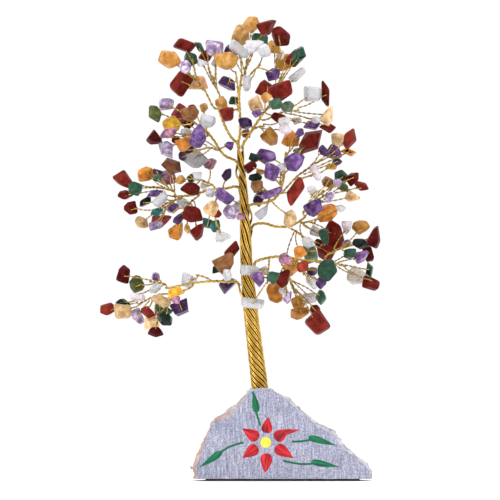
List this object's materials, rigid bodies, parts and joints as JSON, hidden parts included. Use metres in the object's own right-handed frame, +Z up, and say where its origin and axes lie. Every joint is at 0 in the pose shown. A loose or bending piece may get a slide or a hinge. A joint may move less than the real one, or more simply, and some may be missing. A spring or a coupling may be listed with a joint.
{
  "type": "gemstone tree ornament",
  "caption": "Wire tree ornament: a twisted trunk set in a painted stone base divides into bendable boughs that carry drilled, tumbled gemstone chips.",
  "frame": {"origin": "centre of the underside of the pad that the stone stands on", "axes": "+Z up, the sawn painted face of the stone looks along -Y, +X to the right seen from the front"},
  "size_m": [0.1683, 0.116, 0.2781],
  "materials": {
    "base_stone": "sawn and broken, matte",
    "felt_pad": "matte felt",
    "glue": "set clear glue",
    "wire": "gold-coloured soft wire",
    "red_jasper": "tumbled satin polish",
    "yellow_aventurine": "tumbled satin polish",
    "green_aventurine": "tumbled satin polish",
    "amethyst": "tumbled, part clear",
    "clear_quartz": "tumbled, clear to milky"
  },
  "bodies": {
    "stand": {"base_stone": "base_stone", "felt_pad": "felt_pad", "glue_plug": "glue", "trunk_core": "wire", "trunk_strands": "wire"},
    "mid_right_bough": {"mid_right_bough_amethyst": "amethyst", "mid_right_bough_clear_quartz": "clear_quartz", "mid_right_bough_green_aventurine": "green_aventurine", "mid_right_bough_red_jasper": "red_jasper", "mid_right_bough_wire": "wire", "mid_right_bough_yellow_aventurine": "yellow_aventurine"},
    "mid_left_bough": {"mid_left_bough_amethyst": "amethyst", "mid_left_bough_clear_quartz": "clear_quartz", "mid_left_bough_green_aventurine": "green_aventurine", "mid_left_bough_red_jasper": "red_jasper", "mid_left_bough_wire": "wire", "mid_left_bough_yellow_aventurine": "yellow_aventurine"},
    "upper_left_bough": {"upper_left_bough_amethyst": "amethyst", "upper_left_bough_clear_quartz": "clear_quartz", "upper_left_bough_green_aventurine": "green_aventurine", "upper_left_bough_red_jasper": "red_jasper", "upper_left_bough_wire": "wire", "upper_left_bough_yellow_aventurine": "yellow_aventurine"},
    "low_right_bough": {"low_right_bough_amethyst": "amethyst", "low_right_bough_clear_quartz": "clear_quartz", "low_right_bough_green_aventurine": "green_aventurine", "low_right_bough_red_jasper": "red_jasper", "low_right_bough_wire": "wire", "low_right_bough_yellow_aventurine": "yellow_aventurine"},
    "top_bough": {"top_bough_amethyst": "amethyst", "top_bough_clear_quartz": "clear_quartz", "top_bough_green_aventurine": "green_aventurine", "top_bough_red_jasper": "red_jasper", "top_bough_wire": "wire", "top_bough_yellow_aventurine": "yellow_aventurine"},
    "upper_right_bough": {"upper_right_bough_amethyst": "amethyst", "upper_right_bough_clear_quartz": "clear_quartz", "upper_right_bough_green_aventurine": "green_aventurine", "upper_right_bough_red_jasper": "red_jasper", "upper_right_bough_wire": "wire", "upper_right_bough_yellow_aventurine": "yellow_aventurine"},
    "low_left_bough": {"low_left_bough_amethyst": "amethyst", "low_left_bough_clear_quartz": "clear_quartz", "low_left_bough_green_aventurine": "green_aventurine", "low_left_bough_red_jasper": "red_jasper", "low_left_bough_wire": "wire", "low_left_bough_yellow_aventurine": "yellow_aventurine"},
    "left_bough": {"left_bough_amethyst": "amethyst", "left_bough_clear_quartz": "clear_quartz", "left_bough_green_aventurine": "green_aventurine", "left_bough_red_jasper": "red_jasper", "left_bough_wire": "wire", "left_bough_yellow_aventurine": "yellow_aventurine"},
    "right_bough": {"right_bough_amethyst": "amethyst", "right_bough_clear_quartz": "clear_quartz", "right_bough_green_aventurine": "green_aventurine", "right_bough_red_jasper": "red_jasper", "right_bough_wire": "wire", "right_bough_yellow_aventurine": "yellow_aventurine"}
  },
  "joints": [
    {"name": "mid_right_bend", "type": "hinge", "parent": "stand", "child": "mid_right_bough", "pos_m": [-0.01991, -0.00326, 0.16228], "axis": [0, 1, 0], "range_deg": [-4, 4]},
    {"name": "mid_left_bend", "type": "hinge", "parent": "stand", "child": "mid_left_bough", "pos_m": [-0.02707, 0.00278, 0.18829], "axis": [0, 1, 0], "range_deg": [-4, 4]},
    {"name": "upper_left_bend", "type": "hinge", "parent": "stand", "child": "upper_left_bough", "pos_m": [-0.02622, 0.00122, 0.19835], "axis": [0, 1, 0], "range_deg": [-4, 4]},
    {"name": "low_right_bend", "type": "hinge", "parent": "stand", "child": "low_right_bough", "pos_m": [-0.01678, -0.0016, 0.1283], "axis": [0, 1, 0], "range_deg": [-4, 4]},
    {"name": "top_bend", "type": "hinge", "parent": "stand", "child": "top_bough", "pos_m": [-0.02612, -0.00128, 0.19834], "axis": [0, 1, 0], "range_deg": [-4, 4]},
    {"name": "upper_right_bend", "type": "hinge", "parent": "stand", "child": "upper_right_bough", "pos_m": [-0.024, 0.00006, 0.19835], "axis": [0, 1, 0], "range_deg": [-4, 4]},
    {"name": "low_left_bend", "type": "hinge", "parent": "stand", "child": "low_left_bough", "pos_m": [-0.02597, -0.00007, 0.1163], "axis": [0, 1, 0], "range_deg": [-8, 8]},
    {"name": "left_bend", "type": "hinge", "parent": "stand", "child": "left_bough", "pos_m": [-0.02558, -0.00329, 0.17334], "axis": [0, 1, 0], "range_deg": [-4, 4]},
    {"name": "right_bend", "type": "hinge", "parent": "stand", "child": "right_bough", "pos_m": [-0.01858, 0.00272, 0.15034], "axis": [0, 1, 0], "range_deg": [-4, 4]}
  ]
}
